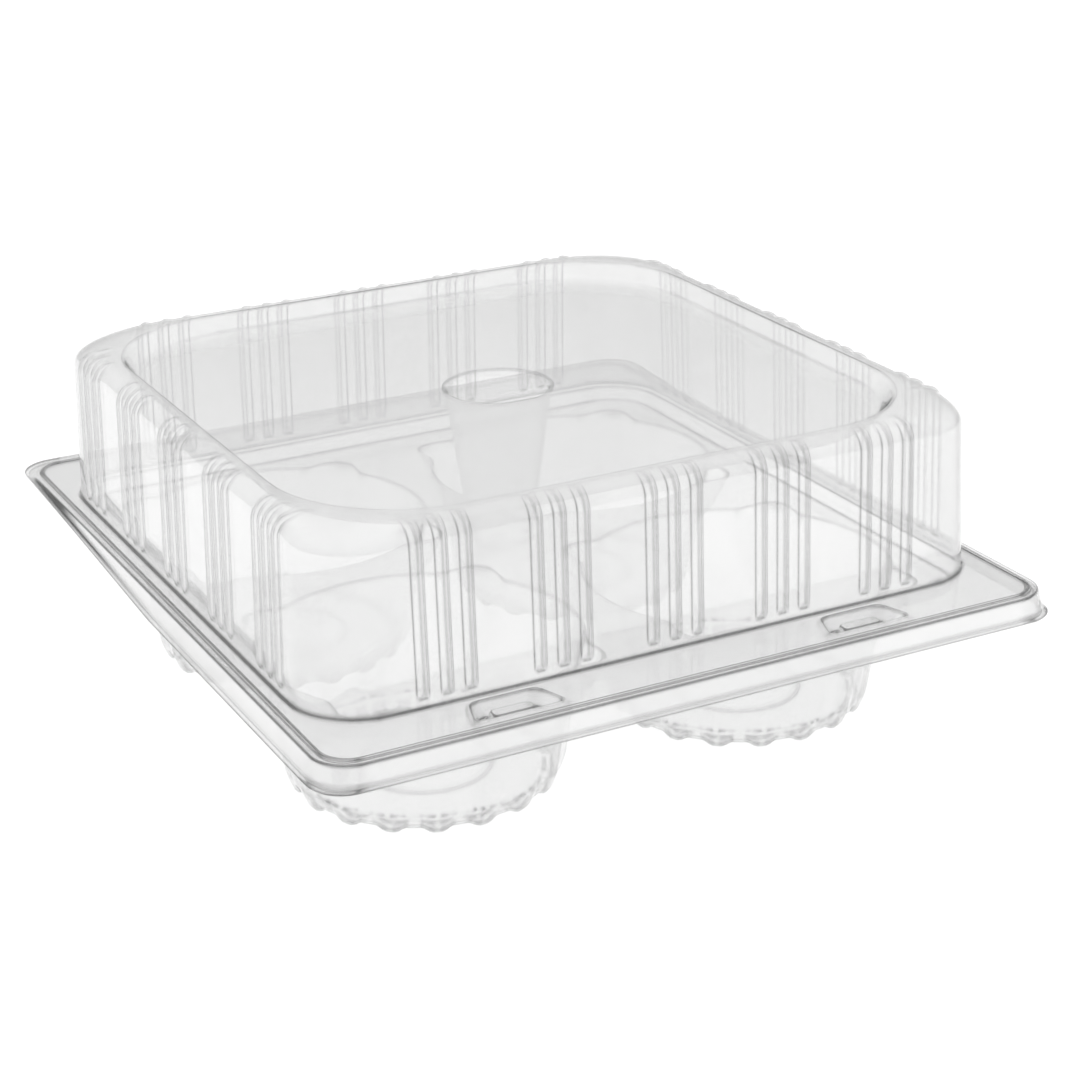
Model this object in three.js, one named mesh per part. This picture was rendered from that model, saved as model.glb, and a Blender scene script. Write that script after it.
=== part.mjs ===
// Cupcake box: a clear thermoformed clamshell for four cupcakes.
//
// One plastic sheet is drawn into two halves that fold together along the back edge: a base with four
// fluted cups, and a domed lid with a hollow post in its middle. The lid's flange nests over the base's
// flange, and two snap latches in the front flange hold the box shut.
//
// Millimetres, +Z up. The origin is under the middle of the box, on the table. The front, with the
// latches, faces -Y, and the fold is at the back, at +Y.

import * as THREE from 'three';

// Sheet
const wall = 0.5;               // thickness of the formed sheet
const gap = 0.3;                // clearance between the lid and the base where they nest

// Rim: lip, skirt and flange, as heights above the trimmed edge
const trimHeight = 33;          // the trimmed edge above the table
const trimCorner = 9;           // corner radius of the trimmed edge, in plan
const skirtHeight = 5.5;        // top of the lid's flange above the trimmed edge
const lipFlare = 0.9;           // how far the lip turns out from the skirt
const lipHeight = 0.9;          // height of that turned-out lip
const skirtLean = 0.6;          // how far the skirt leans in from bottom to top
const rimRound = 0.6;           // rounding between skirt and flange
const beadInset = 1.2;          // flange edge to the start of the bead
const beadWidth = 1.2;          // stiffening bead along the flange
const beadHeight = 0.5;
const beadFromDome = 3;         // bead to the foot of the dome, on the left and the right
const taperStart = 0;           // Y where the skirt starts to run out towards the fold
const taperFromFold = 13;       // fold to where it has run out into the flange

// Cups
const cupRim = 37.8;            // radius at the deck, upper face
const cupRimRound = 1.2;
const cupSpacing = 8.4;         // deck between two cups
const cupMargin = 2.5;          // deck between a cup and the step around the deck
const cupWallFoot = 31.4;       // radius at the bottom of the wall
const footRise = 4;             // height of the rounding at the bottom of the wall
const footOuter = 29.8;         // the feet's flats lie between these two radii
const footInner = 28.4;
const floorEdge = 26.8;         // radius where the feet run into the floor
const floorHeight = 1.6;        // underside of the floor above the table
const valleyRise = 1.1;         // underside of the sheet above the table between the feet
const flutes = 18;
const firstFlute = -90;         // direction of the first flute in degrees, straight to the front
const fluteTop = 8.4;           // below the deck, where the flutes have half their depth
const fluteDepth = 0.5;
const fluteAngle = 3;           // half the width of a flute's flat, in degrees
const ringOuter = 16.2;         // stepped ring pressed in the floor
const ringInner = 14.8;
const ringStep = 0.8;

// Relief lobes at the cup rims, on the diagonals
const lobeReach = 6;            // how far a lobe stands out from the rim
const lobeAngle = 14;           // half its width, in degrees
const lobeDepth = 14;           // how far down the wall it runs

// Deck of the base, and the step around it
const stepInset = 1;            // foot of the dome to the top of the step
const stepSlope = 1.2;          // how far the step leans in
const deckCorner = 14;
const deckHeight = 1;           // top of the deck above the trimmed edge

// Dome of the lid
const domeFootCorner = 16;
const domeDraft = 1;            // how much each wall leans in from foot to shoulder
const domeRise = 46;            // crest above the trimmed edge
const shoulder = 5;             // radius of the shoulder
const shoulderCorner = 29;      // corner radius of the crest's outer edge
const crestWidth = 1.6;         // flat land on the crest
const crestCorner = 32;         // corner radius of its inner edge
const recessDepth = 4.5;        // crest down to the panel
const recessSlope = 1.6;        // how far the recess wall leans in
const recessCorner = 35;        // corner radius of the panel

// Ribs on the dome
const ribWidth = 3;
const ribHeight = 0.9;
const ribPitch = 5.6;           // rib to rib inside a group
const ribsInGroup = 3;
const groupsOnSide = 5;
const groupPitchX = 27.6;       // group to group on the front and the back
const groupPitchY = 29;         // group to group on the left and the right
const ribStart = 2;             // foot of the dome up to where the ribs begin
const ribRunIn = 2;             // height in which they rise to their full section

// Centre post, drawn down from the panel
const postMouth = 12.6;         // radius at the panel
const postMouthRound = 1.2;     // rounding of the mouth
const postFoot = 7;             // radius at its closed lower end
const postFootRound = 1.5;
const postClearance = 0.6;      // under the post, above the deck

// Snap latches in the front flange
const latchOffset = 43.7;       // from the middle of the box
const latchBack = 15.5;         // width of the pocket beside the dome
const latchFront = 21;          // width of the pocket beside the skirt
const latchLength = 8.4;        // from its back edge to its front edge
const latchFromDome = 2.6;      // foot of the dome to the pocket
const latchFromSkirt = 5.4;     // pocket to the top of the skirt
const latchDepth = 3.3;
const latchDraft = 1.5;         // how far the pocket's walls lean in
const latchChamfer = 1.5;       // cut corners of the pocket
const buttonLedge = 0.4;        // flat floor before and behind the snap button
const buttonWidth = 11;         // snap button in the pocket, at its foot
const buttonHeight = 2;
const buttonDraft = 0.7;

// Facets
const cornerSteps = 6;          // straight pieces in each rounded corner
const shoulderSteps = 2;
const samePlace = 1e-6;         // two places closer than this are one

// The whole box, built up from the cups outwards
const cupPitch = 2 * cupRim + cupSpacing;
const domeFoot = 2 * (cupPitch / 2 + cupRim + cupMargin + stepSlope + stepInset);
const flangeEdge = lipFlare + skirtLean + rimRound;
const boxWidth = domeFoot + 2 * (beadFromDome + beadWidth + beadInset + flangeEdge);
const boxDepth = domeFoot + 2 * (latchFromDome + latchLength + latchFromSkirt + flangeEdge);
const taperEnd = boxDepth / 2 - taperFromFold;
const buttonLength = latchLength - 2 * (latchDraft + buttonLedge);
const skirtTop = trimHeight + skirtHeight;

// A surface made of closed rings of points, all counter-clockwise from above. Its upper side is the
// upper side of the sheet.
class Surface {
  points = [];
  faces = [];

  ring(points) {
    const first = this.points.length;
    this.points.push(...points);
    return points.map((_, i) => first + i);
  }

  // Joins two rings around the same middle, which may differ in how many points they have.
  band(outer, inner, centre = new THREE.Vector2()) {
    const directionOf = (i) => Math.atan2(this.points[i].y - centre.y, this.points[i].x - centre.x);
    const fullTurn = 2 * Math.PI;
    const start = directionOf(outer[0]);
    const away = (i) => {
      const turn = directionOf(i) - start + Math.PI;
      return THREE.MathUtils.euclideanModulo(turn, fullTurn) - Math.PI;
    };
    const nearer = (best, i, at) => (Math.abs(away(i)) < Math.abs(away(inner[best])) ? at : best);
    const first = inner.reduce(nearer, 0);
    const turned = [...inner.slice(first), ...inner.slice(0, first)];
    const turnsOf = (ring) => {
      const turns = ring.map((i, at) => (at ? THREE.MathUtils.euclideanModulo(away(i), fullTurn) : away(i)));
      return [...turns, turns[0] + fullTurn];
    };
    const a = turnsOf(outer);
    const b = turnsOf(turned);
    let i = 0;
    let j = 0;
    while (i < outer.length || j < turned.length) {
      const here = outer[i % outer.length];
      const there = turned[j % turned.length];
      if (j >= turned.length || (i < outer.length && a[i + 1] + a[i] <= b[j + 1] + b[j])) {
        i += 1;
        this.faces.push([here, outer[i % outer.length], there]);
      } else {
        j += 1;
        this.faces.push([here, turned[j % turned.length], there]);
      }
    }
    return inner;
  }

  // Fills the flat face between one outer ring and the rings inside it.
  flat(outer, holes = []) {
    const loops = [outer, ...holes];
    const flatten = (ring) => ring.map((i) => new THREE.Vector2(this.points[i].x, this.points[i].y));
    const index = loops.flat();
    for (const face of THREE.ShapeUtils.triangulateShape(flatten(outer), holes.map(flatten))) {
      const [p, q, r] = face.map((i) => this.points[index[i]]);
      const turns = (q.x - p.x) * (r.y - p.y) - (q.y - p.y) * (r.x - p.x);
      this.faces.push(turns > 0 ? face.map((i) => index[i]) : face.map((i) => index[i]).reverse());
    }
  }

  // The point under each vertex that lies one wall away from every face around it.
  underside(thickness) {
    const sums = this.points.map(() => ({ matrix: new Array(6).fill(0), side: new THREE.Vector3() }));
    for (const face of this.faces) {
      const [p, q, r] = face.map((i) => this.points[i]);
      const normal = q.clone().sub(p).cross(r.clone().sub(p)).normalize();
      face.forEach((vertex, corner) => {
        const at = this.points[vertex];
        const next = this.points[face[(corner + 1) % 3]].clone().sub(at);
        const last = this.points[face[(corner + 2) % 3]].clone().sub(at);
        const weight = next.angleTo(last);
        const { x, y, z } = normal;
        const { matrix, side } = sums[vertex];
        [x * x, x * y, x * z, y * y, y * z, z * z].forEach((value, k) => { matrix[k] += weight * value; });
        side.addScaledVector(normal, weight);
      });
    }
    const soft = 0.02;            // keeps the solution on the mean normal where the faces are nearly flat
    return this.points.map((point, i) => {
      const [xx, xy, xz, yy, yz, zz] = sums[i].matrix;
      const mean = sums[i].side.clone().normalize();
      const target = sums[i].side.clone().addScaledVector(mean, soft);
      const solve = new THREE.Matrix3().set(xx + soft, xy, xz, xy, yy + soft, yz, xz, yz, zz + soft);
      return point.clone().addScaledVector(target.applyMatrix3(solve.invert()), -thickness);
    });
  }

  // The sheet as a closed body: this surface, its underside, and the cut edge around `edge`.
  sheet(edge, thickness) {
    const under = this.underside(thickness);
    const count = this.points.length;
    const faces = [...this.faces, ...this.faces.map(([p, q, r]) => [r + count, q + count, p + count])];
    edge.forEach((p, i) => {
      const q = edge[(i + 1) % edge.length];
      faces.push([q, p, p + count], [q, p + count, q + count]);
    });
    const geometry = new THREE.BufferGeometry();
    const flat = [...this.points, ...under].flatMap((point) => point.toArray());
    geometry.setAttribute('position', new THREE.Float32BufferAttribute(flat, 3));
    geometry.setIndex(faces.flat());
    geometry.computeVertexNormals();
    return geometry;
  }
}

// Places around a rounded rectangle, each with its outward direction. `marks` gives further places by
// their distance along a side from its middle, with a value: [distance, value]. A mark that lies past
// the straight part of its side is set on the corner's arc.
function outline(halfX, front, back, corner, marks = { alongX: [], alongY: [] }) {
  const middle = (front + back) / 2;
  const halfY = (back - front) / 2;
  const radius = Math.min(corner, halfX, halfY);
  const sides = [
    { along: [0, 1], out: [1, 0], length: halfY, reach: halfX, list: marks.alongY },
    { along: [-1, 0], out: [0, 1], length: halfX, reach: halfY, list: marks.alongX },
    { along: [0, -1], out: [-1, 0], length: halfY, reach: halfX, list: marks.alongY },
    { along: [1, 0], out: [0, -1], length: halfX, reach: halfY, list: marks.alongX },
  ];
  const bendAt = (distance, length) => Math.sign(distance)
    * Math.asin(Math.max(0, Math.abs(distance) - (length - radius)) / radius);
  const places = [];
  sides.forEach(({ along, out, length, reach, list }, side) => {
    const place = (distance, bend, value) => {
      const across = reach - radius + radius * Math.cos(bend);
      places.push({
        x: along[0] * distance + out[0] * across,
        y: middle + along[1] * distance + out[1] * across,
        out: [
          out[0] * Math.cos(bend) + along[0] * Math.sin(bend),
          out[1] * Math.cos(bend) + along[1] * Math.sin(bend),
        ],
        value,
      });
    };
    for (const [distance, value] of list) place(distance, bendAt(distance, length), value);
    const next = sides[(side + 1) % 4];
    const bendStart = list.length ? bendAt(list.at(-1)[0], length) : 0;
    const bendLeft = next.list.length ? -bendAt(next.list[0][0], next.length) : 0;
    for (let step = 0; step <= cornerSteps; step += 1) {
      const bend = THREE.MathUtils.lerp(bendStart, Math.PI / 2 - bendLeft, step / cornerSteps);
      place(length - radius + radius * Math.sin(bend), bend, 0);
    }
  });
  return places.filter(({ x, y }, i) => {
    const last = places.at(i - 1);
    return Math.hypot(x - last.x, y - last.y) > samePlace;
  });
}

// A level ring: a rounded rectangle at one height.
function levelRing(halfX, front, back, corner, height) {
  return outline(halfX, front, back, corner).map(({ x, y }) => new THREE.Vector3(x, y, height));
}

// How much of the skirt is left at a distance from the middle: all at the front, none at the fold.
function skirtShare(y) {
  return 1 - THREE.MathUtils.clamp((y - taperStart) / (taperEnd - taperStart), 0, 1);
}

// The rim of either half, from the cut edge up the skirt to the flange. `under` is how far this half
// lies below the lid's upper side: nothing for the lid, a wall and a gap for the base. Both halves end
// at the fold.
function addRim(surface, under) {
  const top = skirtTop - under;
  const tuck = under * Math.tan(Math.PI / 8);
  const section = [
    [tuck, 0],
    [lipFlare, lipHeight - tuck],
    [lipFlare + skirtLean, skirtHeight - under - rimRound],
    [flangeEdge, skirtHeight - under],
  ];
  const rings = section.map(([inset, height]) => {
    const fold = boxDepth / 2 - inset + tuck;
    const places = outline(
      boxWidth / 2 - under - inset, -boxDepth / 2 + under + inset, fold, trimCorner - under,
      { alongX: [], alongY: [-taperEnd, -taperStart, taperStart, taperEnd].map((y) => [y, 0]) },
    );
    return surface.ring(places.map(({ x, y }) => {
      const z = trimHeight + height;
      return new THREE.Vector3(x, y, z < top ? top - (top - z) * skirtShare(y) : z);
    }));
  });
  rings.reduce((outer, inner) => surface.band(outer, inner));
  return { edge: rings[0], inner: rings.at(-1), top };
}

// The stiffening bead along the lid's flange, inside the ring `outer`.
function addBead(surface, outer, top) {
  const section = [[0, 0], [beadWidth / 2, beadHeight], [beadWidth, 0]];
  return section.reduce((ring, [across, rise]) => {
    const inset = flangeEdge + beadInset + across;
    const halfY = boxDepth / 2 - inset;
    return surface.band(ring, surface.ring(
      levelRing(boxWidth / 2 - inset, -halfY, halfY, trimCorner - flangeEdge, top + rise),
    ));
  }, outer);
}

// The two latch pockets, each with its snap button. Returns the rings where they open in the flange.
function addLatches(surface, under, top) {
  const back = -domeFoot / 2 - latchFromDome;
  const front = back - latchLength;
  const splay = Math.atan((latchFront - latchBack) / 2 / (back - front));
  const pocket = (centre, grow, height) => {
    const halfBack = latchBack / 2 + grow / Math.cos(splay) - grow * Math.tan(splay);
    const halfFront = latchFront / 2 + grow / Math.cos(splay) + grow * Math.tan(splay);
    const cut = latchChamfer;
    return surface.ring([
      [-halfFront + cut, front - grow], [halfFront - cut, front - grow],
      [halfFront, front - grow + cut], [halfBack, back + grow - cut],
      [halfBack - cut, back + grow], [-halfBack + cut, back + grow],
      [-halfBack, back + grow - cut], [-halfFront, front - grow + cut],
    ].map(([x, y]) => new THREE.Vector3(centre + x, y, height)));
  };
  const button = (centre, shrink, height) => {
    const halfX = buttonWidth / 2 - shrink;
    const halfY = buttonLength / 2 - shrink;
    const middle = (front + back) / 2;
    const cut = halfY / 2;
    return surface.ring([
      [-halfX + cut, -halfY], [halfX - cut, -halfY], [halfX, -halfY + cut], [halfX, halfY - cut],
      [halfX - cut, halfY], [-halfX + cut, halfY], [-halfX, halfY - cut], [-halfX, -halfY + cut],
    ].map(([x, y]) => new THREE.Vector3(centre + x, middle + y, height)));
  };
  return [-latchOffset, latchOffset].map((centre) => {
    const middle = new THREE.Vector2(centre, (front + back) / 2);
    const mouth = pocket(centre, under, top);
    const floor = pocket(centre, under - latchDraft, top - latchDepth);
    const foot = button(centre, under, top - latchDepth);
    const crown = button(centre, under + buttonDraft, top - latchDepth + buttonHeight);
    surface.band(mouth, floor, middle);
    surface.flat(floor, [foot]);
    surface.band(foot, crown, middle);
    surface.flat(crown);
    return mouth;
  });
}

// Marks for the ribs along a side: the two edges of each rib and its middle, where the value is 1.
function ribMarks(groupPitch) {
  const marks = [];
  for (let group = 0; group < groupsOnSide; group += 1) {
    for (let rib = 0; rib < ribsInGroup; rib += 1) {
      const at = (group - (groupsOnSide - 1) / 2) * groupPitch + (rib - (ribsInGroup - 1) / 2) * ribPitch;
      marks.push([at - ribWidth / 2, 0], [at, 1], [at + ribWidth / 2, 0]);
    }
  }
  return marks;
}

function makeLid() {
  const surface = new Surface();
  const rim = addRim(surface, 0);
  const latches = addLatches(surface, 0, rim.top);
  const foot = domeFoot / 2;
  let ring = surface.ring(levelRing(foot, -foot, foot, domeFootCorner, rim.top));
  surface.flat(addBead(surface, rim.inner, rim.top), [ring, ...latches]);

  // Ribbed wall and shoulder. Each ring says how high the ribs stand there.
  const marks = { alongX: ribMarks(groupPitchX), alongY: ribMarks(groupPitchY) };
  const ribbedRing = (half, corner, height, rise, lean) => surface.ring(
    outline(half, -half, half, corner, marks).map(({ x, y, out, value }) => new THREE.Vector3(
      x + out[0] * value * rise * Math.cos(lean),
      y + out[1] * value * rise * Math.cos(lean),
      height + value * rise * Math.sin(lean),
    )),
  );
  const crest = trimHeight + domeRise;
  const shoulderFoot = crest - shoulder;
  const wallHeight = shoulderFoot - rim.top;
  const wallHalf = (above) => foot - domeDraft * above / wallHeight;
  const ribFoot = ribStart + ribRunIn;
  for (const above of [ribStart / 2, ribStart]) {
    ring = surface.band(ring, ribbedRing(wallHalf(above), domeFootCorner, rim.top + above, 0, 0));
  }
  ring = surface.band(ring, ribbedRing(wallHalf(ribFoot), domeFootCorner, rim.top + ribFoot, ribHeight, 0));
  for (let step = 0; step <= shoulderSteps; step += 1) {
    const lean = step / shoulderSteps * Math.PI / 2;
    const half = wallHalf(wallHeight) - shoulder * (1 - Math.cos(lean));
    const corner = THREE.MathUtils.lerp(domeFootCorner, shoulderCorner, 1 - Math.cos(lean));
    const height = shoulderFoot + shoulder * Math.sin(lean);
    const rise = ribHeight * (1 - (step / shoulderSteps) ** 2);
    ring = surface.band(ring, ribbedRing(half, corner, height, rise, lean));
  }

  // Crest, recessed panel and centre post.
  const plainRing = (half, corner, height) => surface.ring(levelRing(half, -half, half, corner, height));
  const panel = crest - recessDepth;
  const land = wallHalf(wallHeight) - shoulder - crestWidth;
  const postBottom = trimHeight + deckHeight + postClearance + wall;
  ring = surface.band(ring, ribbedRing(land, crestCorner, crest, 0, 0));
  ring = surface.band(ring, plainRing(land - recessSlope, recessCorner, panel));
  const roundRing = (radius, height) => plainRing(radius, radius, height);
  ring = surface.band(ring, roundRing(postMouth + postMouthRound, panel));
  const postWall = new THREE.Vector2(postMouth - postFoot, panel - postBottom);
  const atPost = (below) => postFoot + postWall.x * (panel - below - postBottom) / postWall.y;
  ring = surface.band(ring, roundRing(atPost(postMouthRound), panel - postMouthRound));
  ring = surface.band(ring, roundRing(atPost(postWall.y - postFootRound), postBottom + postFootRound));
  ring = surface.band(ring, roundRing(postFoot - postFootRound, postBottom));
  surface.flat(ring);
  return surface.sheet(rim.edge, wall);
}

// Directions in which the cup's points lie: the two edges of each flute, and the valley after it.
function cupDirections() {
  const directions = [];
  for (let flute = 0; flute < flutes; flute += 1) {
    const middle = firstFlute + flute * 360 / flutes;
    directions.push([middle - fluteAngle, 1], [middle + fluteAngle, 1], [middle + 180 / flutes, 0]);
  }
  return directions;
}

// How far a relief lobe stands out from the wall, by direction and depth below the deck.
function lobe(direction, below) {
  const fromDiagonal = Math.abs(THREE.MathUtils.euclideanModulo(direction, 90) - 45);
  if (fromDiagonal >= lobeAngle || below >= lobeDepth) return 0;
  return lobeReach * Math.cos(fromDiagonal / lobeAngle * Math.PI / 2) ** 2 * (1 - (below / lobeDepth) ** 2);
}

// One cup, from the deck down. Returns the ring where it opens in the deck.
function addCup(surface, centreX, centreY, deck) {
  const centre = new THREE.Vector2(centreX, centreY);
  const cupRing = (radiusAt, heightAt) => surface.ring(cupDirections().map(([direction, flute]) => {
    const angle = THREE.MathUtils.degToRad(direction);
    const height = heightAt(flute);
    const radius = radiusAt(flute) + lobe(direction, deck - height);
    return new THREE.Vector3(
      centreX + radius * Math.cos(angle), centreY + radius * Math.sin(angle), height,
    );
  }));
  const floor = floorHeight + wall;
  const wallFoot = wall + footRise;
  const wallTop = deck - cupRimRound;
  const wallRadius = (height) => THREE.MathUtils.mapLinear(
    height, wallTop, wallFoot, cupRim - cupRimRound, cupWallFoot,
  );
  const footHeight = (flute) => wall + valleyRise * (1 - flute);
  const halfWay = deck - fluteTop;
  const rim = cupRing(() => cupRim, () => deck);
  const rings = [
    rim,
    cupRing(() => wallRadius(wallTop), () => wallTop),
    cupRing((flute) => wallRadius(halfWay) + fluteDepth * flute / 2, () => halfWay),
    cupRing((flute) => wallRadius(wallFoot) + fluteDepth * flute, () => wallFoot),
    cupRing((flute) => footOuter + fluteDepth * flute, footHeight),
    cupRing(() => footInner, footHeight),
    cupRing(() => floorEdge, () => floor),
  ];
  rings.reduce((outer, inner) => surface.band(outer, inner, centre));
  const circle = (radius, height) => surface.ring(
    levelRing(radius, -radius, radius, radius, height)
      .map((point) => point.add(new THREE.Vector3(centreX, centreY, 0))),
  );
  const ringFoot = circle(ringOuter, floor);
  const ringTop = circle(ringInner, floor + ringStep);
  surface.band(rings.at(-1), ringFoot, centre);
  surface.band(ringFoot, ringTop, centre);
  surface.flat(ringTop);
  return rim;
}

function makeBase() {
  const surface = new Surface();
  const under = wall + gap;
  const rim = addRim(surface, under);
  const latches = addLatches(surface, under, rim.top);
  const deck = trimHeight + deckHeight;
  const stepTop = domeFoot / 2 - stepInset;
  const stepFoot = stepTop - stepSlope;
  const stepEdge = surface.ring(levelRing(stepTop, -stepTop, stepTop, deckCorner, rim.top));
  const deckEdge = surface.ring(levelRing(stepFoot, -stepFoot, stepFoot, deckCorner - stepSlope, deck));
  const flange = flangeEdge + under + beadInset;
  const flangeRing = surface.ring(levelRing(
    boxWidth / 2 - flange, -boxDepth / 2 + flange, boxDepth / 2 - flange, trimCorner - flangeEdge, rim.top,
  ));
  surface.flat(surface.band(rim.inner, flangeRing), [stepEdge, ...latches]);
  surface.band(stepEdge, deckEdge);
  const rims = [-1, 1].flatMap((signX) => [-1, 1].map(
    (signY) => addCup(surface, signX * cupPitch / 2, signY * cupPitch / 2, deck),
  ));
  surface.flat(deckEdge, rims);
  return surface.sheet(rim.edge, wall);
}

const clearSheet = new THREE.MeshStandardMaterial({
  color: 0xe4e6e7, roughness: 0.08, metalness: 0, transparent: true, opacity: 0.35,
});

function piece(name, geometry) {
  const mesh = new THREE.Mesh(geometry, clearSheet);
  mesh.name = name;
  return mesh;
}

const box = new THREE.Group();
box.add(piece('base_tray', makeBase()), piece('lid', makeLid()));

export default box;
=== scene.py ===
# %% [markdown]
# # Cupcake box, dressed for the camera
#
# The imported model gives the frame: two bodies, `base` and `lid`, which fold together along the back
# edge. This scene draws both halves again as finely formed sheet, with rounded bends, soft ribs and
# fluted feet, gives them clear plastic, and sets up the studio and the camera.

# %% Load the frame
import math

import bpy
import numpy as np
from mathutils import Matrix, Vector
from mathutils.geometry import delaunay_2d_cdt


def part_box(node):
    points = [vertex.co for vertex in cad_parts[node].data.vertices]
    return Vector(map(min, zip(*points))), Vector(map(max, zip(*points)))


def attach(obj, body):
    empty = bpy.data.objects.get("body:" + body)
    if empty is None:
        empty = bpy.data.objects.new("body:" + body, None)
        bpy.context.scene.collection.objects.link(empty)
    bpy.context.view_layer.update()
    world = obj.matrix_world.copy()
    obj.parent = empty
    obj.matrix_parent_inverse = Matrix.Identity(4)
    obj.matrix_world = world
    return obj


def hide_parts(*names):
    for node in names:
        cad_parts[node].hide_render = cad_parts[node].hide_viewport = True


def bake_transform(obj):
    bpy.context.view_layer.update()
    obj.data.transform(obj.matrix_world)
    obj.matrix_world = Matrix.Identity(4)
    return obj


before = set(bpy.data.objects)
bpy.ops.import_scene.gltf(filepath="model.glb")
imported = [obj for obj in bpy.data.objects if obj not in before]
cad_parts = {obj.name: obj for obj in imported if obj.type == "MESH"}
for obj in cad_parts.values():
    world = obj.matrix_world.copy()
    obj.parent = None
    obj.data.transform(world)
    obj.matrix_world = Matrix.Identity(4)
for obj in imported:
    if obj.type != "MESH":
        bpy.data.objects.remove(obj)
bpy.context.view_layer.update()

MM = 0.001

# %% [markdown]
# ## Sizes
#
# The sizes are those of the CAD model, in millimetres. The widths and heights of the two halves are
# read from the frame, and the rest are the named sizes of a formed sheet: how far a wall leans, how
# tight a bend is, how a rib or a flute stands out.

# %% Sheet and rim
lid_low, lid_high = (np.array(corner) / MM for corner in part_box("lid"))
base_low = np.array(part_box("base_tray")[0]) / MM

WALL = 0.5                      # thickness of the formed sheet
GAP = 0.3                       # clearance between the two halves
UNDER = WALL + GAP              # the base's upper side lies this far below the lid's
TRIM_X = lid_high[0]            # half the width at the trimmed edge
TRIM_Y = -lid_low[1]            # half the depth
TRIM_CORNER = 9.0
TRIM_Z = 33.0                   # the trimmed edge above the table
SKIRT = 5.5                     # top of the lid's flange above the trimmed edge
FLANGE_Z = TRIM_Z + SKIRT
LIP_FLARE = 0.9                 # the lip turns out by this much
LIP_HEIGHT = 0.9
SKIRT_LEAN = 0.6
RIM_ROUND = 0.6                 # bend between skirt and flange
FLANGE_EDGE = LIP_FLARE + SKIRT_LEAN + RIM_ROUND
BEAD_INSET = 1.2                # flange edge to the stiffening bead
BEAD_WIDTH = 1.2
BEAD_HEIGHT = 0.5
TAPER = (0.0, 90.0)             # the skirt runs out towards the fold between these two Y
print("trimmed edge", 2 * TRIM_X, "x", 2 * TRIM_Y, "mm, crest at", lid_high[2], "mm")

# %% Dome, recess and post
DOME_FOOT = 84.5                # half the width of the dome at its foot
DOME_CORNER = 16.0
DOME_DRAFT = 1.0
CREST_Z = lid_high[2]
SHOULDER = 5.0
SHOULDER_CORNER = 29.0
CREST_WIDTH = 1.6
CREST_CORNER = 32.0
RECESS_DEPTH = 4.5
RECESS_SLOPE = 1.6
RECESS_CORNER = 35.0
PANEL_Z = CREST_Z - RECESS_DEPTH
POST_MOUTH = 12.6
POST_FOOT = 7.0
DECK_Z = TRIM_Z + 1.0
POST_BOTTOM_Z = DECK_Z + 0.6 + WALL

RIB_WIDTH = 3.0
RIB_HEIGHT = 0.9
RIB_PITCH = 5.6
RIBS_IN_GROUP = 3
GROUPS_ON_SIDE = 5
GROUP_PITCH_X = 27.6
GROUP_PITCH_Y = 29.0
RIB_START = 2.0                 # foot of the dome up to where the ribs begin
RIB_RUN_IN = 2.0
RIB_POINTS = 9                  # points across one rib
RIB_GUARD = 0.62                # a last point beside the rib, as a share of its width from its middle
RIB_SHARPNESS = 1.4             # above 1, the ridge is narrower than a cosine wave
PLAIN_WALL = (0.42, 0.58)       # marks between two groups, as shares of the group pitch
print("panel", PANEL_Z, "mm above the table,", 4 * GROUPS_ON_SIDE * RIBS_IN_GROUP, "ribs")

# %% Cups and latches
STEP_TOP = DOME_FOOT - 1.0      # foot of the dome to the top of the step down to the deck
STEP_SLOPE = 1.2
DECK_CORNER = 14.0
CUP_PITCH = 84.0                # middle to middle of two cups
CUP_RIM = 37.8                  # radius at the deck
CUP_RIM_ROUND = 1.2
CUP_WALL_FOOT = 31.4            # radius at the bottom of the wall
FOOT_RISE = 4.0                 # height of the rounding at the bottom of the wall
FOOT_OUTER = 29.8               # the feet's flats lie between these two radii
FOOT_INNER = 28.4
FLOOR_EDGE = 26.8               # radius where the feet run into the floor
FLOOR_Z = base_low[2] + 1.6 + WALL
VALLEY_RISE = 1.1               # the sheet above the table between the feet
FLUTES = 18
FLUTE_DEPTH = 0.5
FLUTE_FLAT = 1.6                # half the width of a flute's flat, in degrees
FLUTE_EDGE = 6.8                # half the width at its foot, in degrees
FLUTE_POINTS = 12               # points around the cup for each flute
RING_OUTER = 16.2               # stepped ring pressed in the floor
RING_INNER = 14.8
RING_STEP = 0.8
LOBE_REACH = 6.0                # how far a relief lobe stands out from the rim
LOBE_ANGLE = 14.0               # half its width, in degrees
LOBE_DEPTH = 14.0               # how far down the wall it runs
CREASE_DEPTH = 0.4              # two shallow creases run down each cup, on its outer side
CREASE_WIDTH = 1.7              # in degrees
CREASE_DIRECTIONS = (24.0, 86.0)    # of the cup at the back right

LATCH_OFFSET = 43.7             # middle of the box to the middle of a latch
LATCH_BACK = 15.5               # width of the pocket beside the dome
LATCH_FRONT = 21.0              # width of the pocket beside the skirt
LATCH_BACK_Y = -DOME_FOOT - 2.6
LATCH_FRONT_Y = -TRIM_Y + FLANGE_EDGE + 5.4
LATCH_DEPTH = 3.3
LATCH_DRAFT = 1.5
LATCH_CORNER = 2.2
BUTTON_WIDTH = 11.0             # snap button in the pocket, at its foot
BUTTON_LENGTH = 4.6
BUTTON_HEIGHT = 2.0
BUTTON_DRAFT = 0.7
BUTTON_CORNER = 1.6
BUTTON_CROWN = 0.5              # width of the rounding round the button's crown
print("four cups of", 2 * CUP_RIM, "mm at the deck, floor at", round(FLOOR_Z, 2), "mm")

# %% [markdown]
# ## Rings and bands
#
# Every part of the sheet is drawn as rings around one middle, each with as many points as the last,
# so that a band of quads joins them. A section is a list of rows, inset and height first. `soften`
# bends its corners, and keeps a guard row just before and after each bend, so that the flat faces
# beside it shade flat.

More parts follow.
